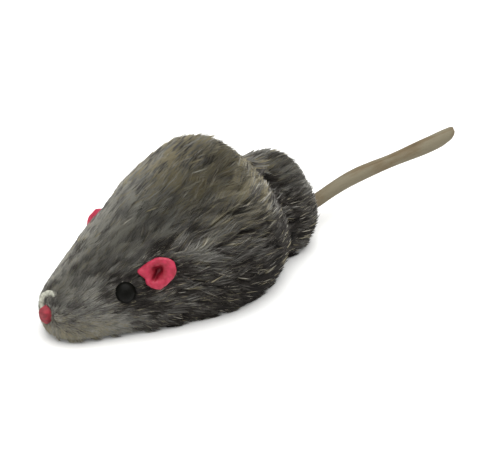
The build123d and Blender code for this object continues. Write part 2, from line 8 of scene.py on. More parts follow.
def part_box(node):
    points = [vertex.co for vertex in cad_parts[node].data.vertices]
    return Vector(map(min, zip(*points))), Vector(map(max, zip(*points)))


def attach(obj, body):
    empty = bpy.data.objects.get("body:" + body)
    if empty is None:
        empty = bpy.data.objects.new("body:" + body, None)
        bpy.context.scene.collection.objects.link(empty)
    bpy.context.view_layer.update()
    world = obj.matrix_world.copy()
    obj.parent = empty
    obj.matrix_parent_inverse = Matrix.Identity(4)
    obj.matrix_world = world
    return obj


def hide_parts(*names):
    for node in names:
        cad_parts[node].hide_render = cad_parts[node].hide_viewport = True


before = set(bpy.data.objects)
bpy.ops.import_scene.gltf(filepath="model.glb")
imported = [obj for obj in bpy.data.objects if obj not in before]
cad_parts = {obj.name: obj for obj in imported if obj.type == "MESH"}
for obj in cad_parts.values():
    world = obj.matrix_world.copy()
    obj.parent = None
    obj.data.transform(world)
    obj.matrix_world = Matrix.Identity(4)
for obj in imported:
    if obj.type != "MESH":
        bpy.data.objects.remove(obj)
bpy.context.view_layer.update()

bl_info = {
    "name": "Clockwork Fur Mouse",
    "version": (1, 0, 0),
    "blender": (4, 5, 0),
    "location": "View3D > Sidebar > Mouse",
    "description": "Dresses the clockwork mouse frame in fur, leather, beads, plastic and metal",
    "category": "Object",
}

MM = 0.001
FUR_LOW, FUR_HIGH = (Vector(corner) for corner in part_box("fur_cover"))
NOSE_LOW, NOSE_HIGH = (Vector(corner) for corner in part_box("nose"))
TAIL_LOW, TAIL_HIGH = (Vector(corner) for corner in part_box("tail"))
NOSE_X = FUR_HIGH.x
BODY_LENGTH = FUR_HIGH.x - FUR_LOW.x
RUMP_X = FUR_LOW.x


# ---------------------------------------------------------------- sizes and colours

class MouseSizes(bpy.types.PropertyGroup):
    """Sizes of the soft trim."""

    pile_height: bpy.props.FloatProperty(
        name="Pile height", description="Depth of the fur over the hide", default=1.5 * MM, unit="LENGTH"
    )
    hair_length: bpy.props.FloatProperty(
        name="Hair length", description="Length of a hair on the back", default=5.0 * MM, unit="LENGTH"
    )
    hair_width: bpy.props.FloatProperty(
        name="Hair width", description="Width of a hair at its root", default=0.12 * MM, unit="LENGTH"
    )
    hair_density: bpy.props.FloatProperty(
        name="Hairs per square millimetre", description="How thickly the fur grows", default=25.0
    )
    lock_size: bpy.props.FloatProperty(
        name="Lock size", description="Width of the locks that the hairs gather in",
        default=1.3 * MM, unit="LENGTH",
    )
    hide_thickness: bpy.props.FloatProperty(
        name="Hide thickness", description="Thickness of the tanned hide", default=0.7 * MM, unit="LENGTH"
    )


def colour_property(label, text, value):
    return bpy.props.StringProperty(name=label, description=text, default=value)


class MouseColours(bpy.types.PropertyGroup):
    """Colours as sRGB hex values."""

    # The lower flanks reach these darkest hairs partly through painted shade
    hair_black: colour_property("Black hair", "Darkest hairs of the rump and lower flanks", "#201D1B")
    hair_dark: colour_property("Dark hair", "Charcoal brown hairs", "#48443F")
    hair_grey: colour_property("Grey hair", "Slate grey hairs of the head and shoulders", "#868580")
    hair_pale: colour_property("Pale hair", "Pale grey hairs of the cheeks", "#A5A49B")
    hair_olive: colour_property("Olive hair", "Olive brown hairs along the back", "#918A72")
    hair_tan: colour_property("Tan hair", "Tan hair tips", "#B3AB92")
    hair_silver: colour_property("Silver hair", "Silver guard hairs", "#BEBDB8")
    hide: colour_property("Hide", "Skin side and roots", "#2F2C29")
    hide_edge: colour_property("Hide edge", "Pale cut edge of the hide at the nose", "#B3B3A4")
    ear: colour_property("Ear", "Dyed ear leather", "#860D26")
    # Painted highlight: the paler red of light on the ear's folds, spread by noise
    ear_highlight: colour_property("Ear fold", "Worn, paler fold of the ear", "#AC2244")
    ear_inside: colour_property("Ear inside", "Shaded inside of the ear", "#6A0416")
    nose: colour_property("Nose", "Dyed nose leather", "#7E1B27")
    eye: colour_property("Eye", "Black bead", "#080806")
    tail: colour_property("Tail", "Undyed tail leather", "#6B6452")
    # Darker brown of random blotches, and of the painted shade along the seam
    tail_dark_and_shade: colour_property("Tail crease", "Brown creases of the tail", "#5F523D")
    shell: colour_property("Shell", "Moulded black plastic", "#242424")
    hub: colour_property("Hub", "Moulded red plastic", "#9E231B")
    roller: colour_property("Roller", "Moulded off-white plastic", "#CFCAB8")
    rubber: colour_property("Rubber", "Moulded rubber", "#191919")
    steel: colour_property("Steel", "Bright steel", "#B9BABC")
    blued: colour_property("Blued steel", "Tempered spring steel", "#3C4760")
    brass: colour_property("Brass", "Stamped brass", "#D2AC59")


# ---------------------------------------------------------------- shading helpers

def linear(hex_value):
    """Linear RGBA of an sRGB hex value."""
    parts = [int(hex_value[i:i + 2], 16) / 255 for i in (1, 3, 5)]
    return tuple(c / 12.92 if c <= 0.04045 else ((c + 0.055) / 1.055) ** 2.4 for c in parts) + (1.0,)


def shaded(colour, factor):
    """The colour made darker or lighter by the factor."""
    return tuple(factor * c for c in colour[:3]) + (1.0,)


def feed(tree, socket, value):
    """Links a socket to another socket, or sets its plain value."""
    if isinstance(value, bpy.types.NodeSocket):
        tree.links.new(value, socket)
    else:
        socket.default_value = value


def add_node(tree, kind, settings=None, inputs=None):
    """Adds a node, sets its properties, and sets or links its inputs."""
    node = tree.nodes.new(kind)
    for name, value in (settings or {}).items():
        setattr(node, name, value)
    for name, value in (inputs or {}).items():
        feed(tree, node.inputs[name], value)
    return node


def colour_ramp(tree, factor, stops, interpolation="LINEAR"):
    """Colour ramp over the factor with (position, colour) stops."""
    ramp = add_node(tree, "ShaderNodeValToRGB", inputs={"Fac": factor})
    ramp.color_ramp.interpolation = interpolation
    elements = ramp.color_ramp.elements
    while len(elements) < len(stops):
        elements.new(1.0)
    for element, (position, colour) in zip(elements, stops):
        element.position = position
        element.color = colour
    return ramp.outputs["Color"]


def new_material(name, **values):
    """Empty material with its shader's plain inputs set; returns the material, its tree and its shader."""
    material = bpy.data.materials.new(name)
    material.use_nodes = True
    tree = material.node_tree
    shader = tree.nodes["Principled BSDF"]
    for key, value in values.items():
        shader.inputs[key.replace("_", " ").title().replace("Ior", "IOR")].default_value = value
    return material, tree, shader


def object_coordinates(tree, stretch=(1, 1, 1)):
    coordinates = add_node(tree, "ShaderNodeTexCoord")
    return add_node(
        tree, "ShaderNodeMapping", inputs={"Vector": coordinates.outputs["Object"], "Scale": stretch}
    ).outputs["Vector"]


def noise_texture(tree, vector, size, detail=3.0, roughness=0.55):
    """Noise whose features are about the given size across, in metres."""
    return add_node(
        tree,
        "ShaderNodeTexNoise",
        inputs={"Vector": vector, "Scale": 1.0 / size, "Detail": detail, "Roughness": roughness},
    ).outputs["Fac"]


def add_bump(tree, shader, height, depth):
    """Bump of the given depth in metres."""
    bump = add_node(tree, "ShaderNodeBump", inputs={"Height": height, "Distance": depth, "Strength": 1.0})
    tree.links.new(bump.outputs["Normal"], shader.inputs["Normal"])


def remap(tree, value, low, high):
    """Value from 0 to 1 moved into the given range."""
    return add_node(
        tree, "ShaderNodeMapRange", inputs={"Value": value, "To Min": low, "To Max": high}
    ).outputs["Result"]


# ---------------------------------------------------------------- materials

def fur_material(colours):
    """Rabbit hair, dressed and combed: dark roots, banded tips, a soft broad sheen along each hair."""
    material, tree, shader = new_material("rabbit_hair", roughness=0.62)
    shader.inputs["Specular IOR Level"].default_value = 0.3
    strand = add_node(tree, "ShaderNodeUVMap", {"uv_map": STRAND_MAP})
    axes = add_node(tree, "ShaderNodeSeparateXYZ", inputs={"Vector": strand.outputs["UV"]})
    shade = colour_ramp(
        tree,
        axes.outputs["X"],
        [
            (0.00, linear(colours.hair_black)),
            (0.22, linear(colours.hair_dark)),
            (0.48, linear(colours.hair_grey)),
            (0.60, linear(colours.hair_pale)),
            (0.70, linear(colours.hair_olive)),
            (0.86, linear(colours.hair_tan)),
            (1.00, linear(colours.hair_silver)),
        ],
    )
    rise = colour_ramp(
        tree,
        axes.outputs["Y"],
        [(0.0, (0.42, 0.41, 0.40, 1)), (0.5, (0.88, 0.87, 0.86, 1)), (1.0, (1.0, 1.0, 1.0, 1))],
    )
    mixed = add_node(
        tree,
        "ShaderNodeMix",
        {"data_type": "RGBA", "blend_type": "MULTIPLY"},
        {"Factor": 1.0},
    )
    # The Mix node keeps one socket of each name per data type, so the colour pair is linked by place.
    tree.links.new(shade, mixed.inputs[6])
    tree.links.new(rise, mixed.inputs[7])
    tree.links.new(mixed.outputs[2], shader.inputs["Base Color"])
    return material


def hide_material(colours):
    """Tanned hide, seen only between hairs: matte, mottled and slightly grained."""
    material, tree, shader = new_material("tanned_hide", roughness=0.85)
    place = object_coordinates(tree)
    mottle = noise_texture(tree, place, 6 * MM)
    base = linear(colours.hide)
    tree.links.new(
        colour_ramp(tree, mottle, [(0.3, base), (0.7, shaded(base, 1.7))]),
        shader.inputs["Base Color"],
    )
    add_bump(tree, shader, noise_texture(tree, place, 0.5 * MM), 0.15 * MM)
    return material


def edge_material(colours):
    """Raw cut edge of the hide: pale, fibrous and quite matte."""
    material, tree, shader = new_material("raw_hide_edge", roughness=0.9)
    place = object_coordinates(tree)
    base = linear(colours.hide_edge)
    fibres = noise_texture(tree, place, 0.5 * MM)
    tree.links.new(
        colour_ramp(tree, fibres, [(0.3, shaded(base, 0.45)), (0.65, base)]),
        shader.inputs["Base Color"],
    )
    add_bump(tree, shader, fibres, 0.1 * MM)
    return material


def leather_material(
    name, low, high, mottle_size, grain_size, grain_depth, stretch=(1, 1, 1), roughness=0.6
):
    """Leather in two shades: pores and fine creases break up a soft sheen."""
    material, tree, shader = new_material(name, roughness=roughness)
    place = object_coordinates(tree, stretch)
    tree.links.new(
        colour_ramp(tree, noise_texture(tree, place, mottle_size), [(0.32, low), (0.68, high)]),
        shader.inputs["Base Color"],
    )
    grain = noise_texture(tree, place, grain_size, 4.0, 0.65)
    tree.links.new(remap(tree, grain, roughness - 0.12, roughness + 0.15), shader.inputs["Roughness"])
    add_bump(tree, shader, grain, grain_depth)
    return material


def ear_material(colours):
    """Red dyed, rolled leather: saturated, with paler patches of painted highlight spread by noise, and
    painted shade in the hollow.
    """
    material, tree, shader = new_material("dyed_ear_leather", roughness=0.5)
    shader.inputs["Specular IOR Level"].default_value = 0.4
    place = object_coordinates(tree)
    # Hollow mask: near 0 deep in the hollow, where the colour drops to the painted shade of the inside
    outer = add_node(tree, "ShaderNodeAttribute", {"attribute_name": "hollow"}).outputs["Fac"]
    mottle = noise_texture(tree, place, 1.6 * MM)
    # Noise lifts patches towards the painted highlight colour
    level = math_node(tree, "MULTIPLY", outer, math_node(tree, "MULTIPLY_ADD", mottle, 0.9, 0.3))
    tree.links.new(
        colour_ramp(
            tree,
            level,
            [
                (0.05, linear(colours.ear_inside)),
                (0.55, linear(colours.ear)),
                (1.0, linear(colours.ear_highlight)),
            ],
        ),
        shader.inputs["Base Color"],
    )
    grain = noise_texture(tree, place, 0.35 * MM, 4.0)
    tree.links.new(remap(tree, grain, 0.4, 0.62), shader.inputs["Roughness"])
    add_bump(tree, shader, grain, 0.05 * MM)
    return material


def tail_material(colours):
    """Undyed rolled leather: dull, fibrous along its length, with darker brown blotches and painted shade
    along the lapped seam.
    """
    material, tree, shader = new_material("rolled_tail_leather", roughness=0.72)
    shader.inputs["Specular IOR Level"].default_value = 0.25
    place = object_coordinates(tree)
    fibres = noise_texture(tree, object_coordinates(tree, (0.12, 1, 1)), 0.5 * MM, 4.0)
    blotches = noise_texture(tree, object_coordinates(tree, (0.5, 1, 1)), 5 * MM, 3.0)
    seam_shade = add_node(tree, "ShaderNodeAttribute", {"attribute_name": "seam_shade"}).outputs["Fac"]
    level = math_node(
        tree, "MULTIPLY_ADD", fibres, 0.35, math_node(tree, "MULTIPLY_ADD", blotches, 0.9, -0.12)
    )
    # Painted shade: the colour darkens along the lapped seam
    level = math_node(tree, "SUBTRACT", level, math_node(tree, "MULTIPLY", seam_shade, 0.16))
    light = linear(colours.tail)
    dark = linear(colours.tail_dark_and_shade)
    tree.links.new(
        colour_ramp(tree, level, [(0.12, shaded(dark, 0.55)), (0.36, dark), (0.58, light)]),
        shader.inputs["Base Color"],
    )
    tree.links.new(remap(tree, fibres, 0.6, 0.85), shader.inputs["Roughness"])
    add_bump(tree, shader, math_node(tree, "ADD", fibres, noise_texture(tree, place, 0.35 * MM)), 0.12 * MM)
    return material


def bead_material(colours):
    """Black moulded bead: deep colour under a clear gloss with fine handling scuffs."""
    material, tree, shader = new_material("black_bead", roughness=0.38, ior=1.45)
    shader.inputs["Specular IOR Level"].default_value = 0.07
    place = object_coordinates(tree)
    base = linear(colours.eye)
    scuffs = noise_texture(tree, place, 0.6 * MM, 5.0, 0.7)
    tree.links.new(
        colour_ramp(tree, scuffs, [(0.45, base), (0.8, shaded(base, 2.0))]),
        shader.inputs["Base Color"],
    )
    tree.links.new(remap(tree, scuffs, 0.3, 0.5), shader.inputs["Roughness"])
    return material


def plastic_material(name, colour, roughness=0.45):
    """Injection-moulded plastic: even colour, soft gloss and a faint flow mottle with fine mould texture."""
    material, tree, shader = new_material(name, roughness=roughness, ior=1.5)
    place = object_coordinates(tree)
    base = linear(colour)
    flow = noise_texture(tree, place, 5 * MM, 2.0)
    tree.links.new(
        colour_ramp(tree, flow, [(0.3, shaded(base, 0.85)), (0.7, base)]),
        shader.inputs["Base Color"],
    )
    texture = noise_texture(tree, place, 0.25 * MM)
    tree.links.new(remap(tree, texture, roughness - 0.08, roughness + 0.1), shader.inputs["Roughness"])
    add_bump(tree, shader, texture, 0.01 * MM)
    return material


def rubber_material(colours):
    """Moulded rubber: nearly black, dull, with dusty wear."""
    material, tree, shader = new_material("moulded_rubber", roughness=0.75, ior=1.52)
    place = object_coordinates(tree)
    base = linear(colours.rubber)
    dust = noise_texture(tree, place, 1.2 * MM, 5.0)
    tree.links.new(
        colour_ramp(tree, dust, [(0.45, base), (0.75, shaded(base, 3.0))]),
        shader.inputs["Base Color"],
    )
    add_bump(tree, shader, noise_texture(tree, place, 0.2 * MM), 0.02 * MM)
    return material


def metal_material(name, colour, stretch, roughness=0.32):
    """Worked metal: fine drawn or turned lines stretch the gloss one way, with slight tarnish."""
    material, tree, shader = new_material(name, roughness=roughness, metallic=1.0)
    place = object_coordinates(tree)
    lines = noise_texture(tree, object_coordinates(tree, stretch), 0.4 * MM, 3.0)
    tarnish = noise_texture(tree, place, 3 * MM)
    base = linear(colour)
    tree.links.new(
        colour_ramp(tree, tarnish, [(0.25, shaded(base, 0.7)), (0.6, base)]),
        shader.inputs["Base Color"],
    )
    tree.links.new(remap(tree, lines, roughness - 0.1, roughness + 0.15), shader.inputs["Roughness"])
    add_bump(tree, shader, lines, 0.01 * MM)
    return material


# ---------------------------------------------------------------- mesh helpers

def deselect():
    if bpy.context.object and bpy.context.object.mode != "OBJECT":
        bpy.ops.object.mode_set(mode="OBJECT")
    bpy.ops.object.select_all(action="DESELECT")


def activate(piece):
    deselect()
    piece.select_set(True)
    bpy.context.view_layer.objects.active = piece


def settle(piece):
    """Puts the piece's place into its mesh."""
    activate(piece)
    bpy.ops.object.transform_apply(location=True, rotation=True, scale=True)


def apply_modifiers(piece):
    activate(piece)
    for modifier in list(piece.modifiers):
        bpy.ops.object.modifier_apply(modifier=modifier.name)


def select_vertices(piece, test):
    """Enters edit mode with only the vertices that pass the test selected."""
    activate(piece)
    bpy.ops.object.mode_set(mode="EDIT")
    bpy.ops.mesh.select_mode(type="VERT")
    bpy.ops.mesh.select_all(action="DESELECT")
    bpy.ops.object.mode_set(mode="OBJECT")
    for vertex in piece.data.vertices:
        vertex.select = test(vertex.co)
    bpy.ops.object.mode_set(mode="EDIT")


def face_outward(piece):
    activate(piece)
    bpy.ops.object.mode_set(mode="EDIT")
    bpy.ops.mesh.select_all(action="SELECT")
    bpy.ops.mesh.normals_make_consistent(inside=False)
    bpy.ops.object.mode_set(mode="OBJECT")


def crumple(piece, name, size, depth):
    """Adds creases of about the given size and depth, in metres."""
    texture = bpy.data.textures.new(name, "CLOUDS")
    texture.noise_scale = size
    creases = piece.modifiers.new("creases", "DISPLACE")
    creases.texture = texture
    creases.texture_coords = "LOCAL"
    creases.strength = depth


def wear(piece, material):
    piece.data.materials.clear()
    piece.data.materials.append(material)


# ---------------------------------------------------------------- hide and fur

STRAND_MAP = "OFBake"
HAIR_TURNS = 3
# Place of the bend along a hair, its width there, and how far the bend and the tip stand off the skin
HAIR_BEND = 0.45
HAIR_BELLY = 1.5
HAIR_LIFT = 2.2
HAIR_TIP_LIFT = 1.25
# Height below which hairs are laid along the floor
FLOOR_BAND = 1.2 * MM

HEM_TOP = FUR_LOW.z + 0.25 * MM
HEM_BOTTOM = 0.7 * MM
# Half sizes of the sphere the skin starts from, as a share of the cover: it lies outside the chin
SKIN_START = 0.75
SKIN_SEGMENTS, SKIN_RINGS = 128, 112
# Rounds of wrapping and smoothing: the number of smoothing steps in each
SKIN_SMOOTHING = (14, 14, 14, 3)


def make_skin():
    """Outer skin of the body: a sphere wrapped onto the frame's fur cover and let in by the pile height."""
    sizes = bpy.context.scene.mouse_sizes
    deselect()
    centre = (FUR_LOW + FUR_HIGH) / 2
    bpy.ops.mesh.primitive_uv_sphere_add(
        segments=SKIN_SEGMENTS, ring_count=SKIN_RINGS, radius=1.0, location=(0, 0, 0)
    )
    skin = bpy.context.object
    skin.name = "hide"
    bpy.ops.transform.rotate(value=math.pi / 2, orient_axis="Y", center_override=(0, 0, 0))
    settle(skin)
    reach = (FUR_HIGH - FUR_LOW) * SKIN_START
    bpy.ops.transform.resize(value=(reach.x, reach.y, reach.z))
    bpy.ops.transform.translate(value=centre)
    settle(skin)
    for smoothing in SKIN_SMOOTHING:
        wrap = skin.modifiers.new("wrap", "SHRINKWRAP")
        wrap.target = bpy.data.objects[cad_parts["fur_cover"].name]
        wrap.wrap_method = "NEAREST_SURFACEPOINT"
        soften = skin.modifiers.new("soften", "SMOOTH")
        soften.factor = 0.5
        soften.iterations = smoothing
        apply_modifiers(skin)
    bpy.ops.object.mode_set(mode="EDIT")
    bpy.ops.mesh.select_all(action="SELECT")
    bpy.ops.mesh.remove_doubles(threshold=0.02 * MM)
    bpy.ops.mesh.normals_make_consistent(inside=False)
    bpy.ops.mesh.select_all(action="SELECT")
    bpy.ops.mesh.bisect(
        plane_co=(0, 0, HEM_TOP), plane_no=(0, 0, 1), clear_inner=True, clear_outer=False
    )
    bpy.ops.object.mode_set(mode="OBJECT")
    select_vertices(skin, lambda place: place.z < HEM_TOP + 0.01 * MM)
    bpy.ops.mesh.extrude_region_move(TRANSFORM_OT_translate={"value": (0, 0, HEM_BOTTOM - HEM_TOP)})
    bpy.ops.object.mode_set(mode="OBJECT")
    pile = skin.vertex_groups.new(name="pile")
    for vertex in skin.data.vertices:
        pile.add([vertex.index], pile_share(vertex.co), "REPLACE")
    sink = skin.modifiers.new("sink", "DISPLACE")
    sink.direction = "NORMAL"
    sink.mid_level = 0.0
    sink.strength = -sizes.pile_height
    sink.vertex_group = "pile"
    apply_modifiers(skin)
    return skin


def pile_share(place):
    """Depth of the pile as a share of the depth on the back: close on the face, shorter on the rump."""
    from_nose = (NOSE_X - place.x) / BODY_LENGTH
    face = 0.15 + 0.85 * smooth_step(0.14, 0.45, from_nose)
    rump = 1.0 - 0.15 * smooth_step(0.78, 0.86, from_nose)
    return face * rump


def make_hair():
    """One tapered hair along +X with its skin side down, a bend in the middle and a map along it."""
    deselect()
    bpy.ops.mesh.primitive_cone_add(
        vertices=HAIR_TURNS, radius1=0.5, radius2=0.0, depth=1.0, end_fill_type="NGON", location=(
            0.5, 0, 0
        ),
        rotation=(0, math.pi / 2, 0),
    )
    hair = bpy.context.object
    hair.name = "single_hair"
    settle(hair)
    bpy.ops.object.mode_set(mode="EDIT")
    bpy.ops.mesh.select_all(action="SELECT")
    bpy.ops.mesh.bisect(plane_co=(HAIR_BEND, 0, 0), plane_no=(1, 0, 0))
    bpy.ops.object.mode_set(mode="OBJECT")
    middle = [v for v in hair.data.vertices if abs(v.co.x - HAIR_BEND) < 0.01]
    tip = [v for v in hair.data.vertices if v.co.x > 0.9]
    for vertex in middle:
        vertex.co.y *= HAIR_BELLY
        vertex.co.z *= HAIR_BELLY
    for vertex in middle:
        vertex.co.z += HAIR_LIFT
    for vertex in tip:
        vertex.co.z += HAIR_TIP_LIFT * HAIR_LIFT
    for layer in list(hair.data.uv_layers):
        hair.data.uv_layers.remove(layer)
    strand = hair.data.uv_layers.new(name=STRAND_MAP)
    for loop in hair.data.loops:
        place = hair.data.vertices[loop.vertex_index].co
        strand.data[loop.index].uv = (place.y, min(max(place.x, 0.0), 1.0))
    return hair


def math_node(tree, operation, first, second=0.0, third=0.0):
    node = add_node(tree, "ShaderNodeMath", {"operation": operation})
    for socket, value in zip(node.inputs, (first, second, third)):
        feed(tree, socket, value)
    return node.outputs[0]


def vector_node(tree, operation, first, second=(0, 0, 0), scale=None):
    node = add_node(tree, "ShaderNodeVectorMath", {"operation": operation})
    for socket, value in zip(node.inputs, (first, second)):
        feed(tree, socket, value)
    if scale is not None:
        feed(tree, node.inputs["Scale"], scale)
    return node.outputs["Value"] if operation in ("DOT_PRODUCT", "LENGTH") else node.outputs["Vector"]


def ramp_between(tree, value, low, high, start=0.0, end=1.0):
    """Smooth rise of the result from start to end as the value goes from low to high."""
    node = add_node(
        tree,
        "ShaderNodeMapRange",
        {"interpolation_type": "SMOOTHSTEP"},
        {"Value": value, "From Min": low, "From Max": high, "To Min": start, "To Max": end},
    )
    return node.outputs["Result"]


def random_value(tree, low, high, seed):
    node = add_node(tree, "FunctionNodeRandomValue", {"data_type": "FLOAT"})
    for name, value in (("Min", low), ("Max", high), ("Seed", seed)):
        for socket in node.inputs:
            if socket.name == name and socket.enabled:
                socket.default_value = value
    return next(socket for socket in node.outputs if socket.enabled)


def middle_of(node):
    """Middle of a frame node's box; the nose gives the middle of its knob, in front of its peg."""
    if node == "nose_front":
        return Vector((NOSE_HIGH.x - (NOSE_HIGH.z - NOSE_LOW.z) / 2, 0, (NOSE_LOW.z + NOSE_HIGH.z) / 2))
    low, high = (Vector(corner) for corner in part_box(node))
    return (low + high) / 2


def axis_distance(tree, place, centre, keep):
    """Distance from a centre, measured only along the kept axes."""
    offset = vector_node(tree, "MULTIPLY", vector_node(tree, "SUBTRACT", place, tuple(centre)), keep)
    return vector_node(tree, "LENGTH", offset)


def cleared_length(tree, place):
    """Share of the full hair length left beside the key, the eyes, the ears and the nose."""
    share = None
    for node, keep, inner, outer, least in CLEARINGS:
        distance = axis_distance(tree, place, middle_of(node), keep)
        cleared = ramp_between(tree, distance, inner * MM, outer * MM, least, 1.0)
        share = cleared if share is None else math_node(tree, "MINIMUM", share, cleared)
    return share


# Piece, axes the distance is measured along, bare and full-length radius in mm, least share of length
CLEARINGS = [
    ("winding_key", (1, 0.28, 1), 2.7, 9.0, 0.0),
    ("left_eye", (1, 1, 1), 2.3, 4.6, 0.0),
    ("right_eye", (1, 1, 1), 2.3, 4.6, 0.0),
    ("left_ear", (1, 1, 1), 3.4, 8.0, 0.0),
    ("right_ear", (1, 1, 1), 3.2, 8.0, 0.0),
    ("nose_front", (1, 1, 1), 1.7, 3.4, 0.0),
]


def fur_tree(hair, seed):
    """Node tree that plants combed hairs on a skin and gives each one its shade."""
    sizes = bpy.context.scene.mouse_sizes
    tree = bpy.data.node_groups.new("plant_fur", "GeometryNodeTree")
    tree.interface.new_socket("Geometry", in_out="INPUT", socket_type="NodeSocketGeometry")
    tree.interface.new_socket("Geometry", in_out="OUTPUT", socket_type="NodeSocketGeometry")
    maths, vectors = partial(math_node, tree), partial(vector_node, tree)
    ramp, chance = partial(ramp_between, tree), partial(random_value, tree)
    entry = add_node(tree, "NodeGroupInput")
    scatter = add_node(
        tree,
        "GeometryNodeDistributePointsOnFaces",
        {"distribute_method": "RANDOM"},
        {"Mesh": entry.outputs[0], "Density": sizes.hair_density / MM**2, "Seed": seed},
    )
    normal = scatter.outputs["Normal"]
    place = add_node(tree, "GeometryNodeInputPosition").outputs["Position"]
    cleared = cleared_length(tree, place)
    bald = maths("LESS_THAN", cleared, 0.04)
    kept = add_node(
        tree,
        "GeometryNodeDeleteGeometry",
        {"domain": "POINT"},
        {"Geometry": scatter.outputs["Points"], "Selection": bald},
    )
    axes = add_node(tree, "ShaderNodeSeparateXYZ", inputs={"Vector": place})
    along, sideways, height = axes.outputs
    from_nose = ramp(along, NOSE_X, RUMP_X)
    from_nose.node.interpolation_type = "LINEAR"

    # Combing: backwards, and up towards the ridge over the shoulders
    ridgeward = ramp(sideways, -10 * MM, 10 * MM, 0.34, -0.34)
    wander = add_node(
        tree, "ShaderNodeTexNoise", inputs={"Vector": place, "Scale": 1 / (7 * MM), "Detail": 1.0}
    )
    wander = vectors("SCALE", vectors("SUBTRACT", wander.outputs["Color"], (0.5, 0.5, 0.5)), scale=1.1)
    falling = ramp(height, 1.5 * MM, 7 * MM, -0.75, -0.02)
    comb = add_node(
        tree, "ShaderNodeCombineXYZ", inputs={"X": -1.0, "Y": ridgeward, "Z": falling}
    ).outputs[0]
    comb = vectors("ADD", comb, wander)

    # Locks: hairs lean towards the middle line of their lock
    stretch = (0.36, 1.0, 1.0)
    lock_space = vectors("MULTIPLY", place, stretch)
    locks = add_node(
        tree,
        "ShaderNodeTexVoronoi",
        {"feature": "F1"},
        {"Vector": lock_space, "Scale": 1 / sizes.lock_size},
    )
    lock_middle = vectors("DIVIDE", locks.outputs["Position"], stretch)
    lean = vectors("SCALE", vectors("SUBTRACT", lock_middle, place), scale=0.22 / sizes.lock_size)
    lean = vectors("MULTIPLY", lean, (0.0, 1.0, 1.0))
    comb = vectors("ADD", comb, lean)
    swirl = vectors("SUBTRACT", locks.outputs["Color"], (0.5, 0.5, 0.5))
    unruly = ramp(from_nose, 0.12, 0.40, 0.15, 0.75)
    unruly = maths("MULTIPLY", unruly, ramp(from_nose, 0.70, 0.80, 1.0, 0.5))
    comb = vectors("ADD", comb, vectors("SCALE", swirl, scale=unruly))
    jitter = add_node(tree, "FunctionNodeRandomValue", {"data_type": "FLOAT_VECTOR"})
    jitter.inputs[0].default_value = (-0.16, -0.16, -0.16)
    jitter.inputs[1].default_value = (0.16, 0.16, 0.16)
    jitter.inputs["Seed"].default_value = seed + 1
    comb = vectors("ADD", comb, jitter.outputs[0])
    turn = add_node(
        tree,
        "FunctionNodeAxesToRotation",
        {"primary_axis": "Z", "secondary_axis": "X"},
        {"Primary Axis": normal, "Secondary Axis": comb},
    )

    # Length: short on the face, full on the back, shorter on the rump, with a few long guard hairs
    face = ramp(from_nose, 0.06, 0.42, 0.34, 1.0)
    rump = ramp(from_nose, 0.78, 0.86, 1.0, 0.72)
    guard = maths("GREATER_THAN", chance(0.0, 1.0, seed + 2), 0.93)
    length = maths("MULTIPLY", face, rump)
    length = maths("MULTIPLY", length, maths("MULTIPLY_ADD", cleared, 0.75, 0.25))
    length = maths("MULTIPLY", length, chance(0.7, 1.12, seed + 3))
    length = maths("MULTIPLY", length, maths("MULTIPLY_ADD", guard, 0.18, 1.0))
    length = maths("MULTIPLY", length, sizes.hair_length)
    rise = maths("MULTIPLY", length, chance(0.07, 0.13, seed + 4))
    width = maths("MULTIPLY_ADD", face, 0.5 * sizes.hair_width, 0.5 * sizes.hair_width)
    size = add_node(
        tree, "ShaderNodeCombineXYZ", inputs={"X": length, "Y": width, "Z": rise}
    ).outputs[0]

    # Shade: grey head, olive back, dark flanks and rump, streaked lock by lock; painted shade darkens the
    # lower flanks and the hair round the eye and ear, and painted light lightens the tops of the flanks
    patch = add_node(
        tree, "ShaderNodeTexNoise", inputs={"Vector": lock_space, "Scale": 1 / (2.6 * MM), "Detail": 3.0}
    ).outputs["Fac"]
    lock_shade = add_node(
        tree, "ShaderNodeSeparateXYZ", inputs={"Vector": locks.outputs["Color"]}
    ).outputs[0]
    level = ramp(from_nose, 0.22, 0.66, 0.53, 0.31)
    chin = maths("MULTIPLY", ramp(from_nose, 0.04, 0.22, 1.0, 0.0), ramp(height, 3 * MM, 11 * MM, 1.0, 0.0))
    # Painted shade and light: the flanks get darker towards the bottom and lighter near the top, as light
    # from above falls
    flank_painted_shade = ramp(height, 5 * MM, 30 * MM, -0.25, 0.10)
    flank_painted_shade = maths("MULTIPLY", flank_painted_shade, ramp(from_nose, 0.12, 0.32))
    rump_lift = ramp(from_nose, 0.78, 0.88, -0.03, 0.11)
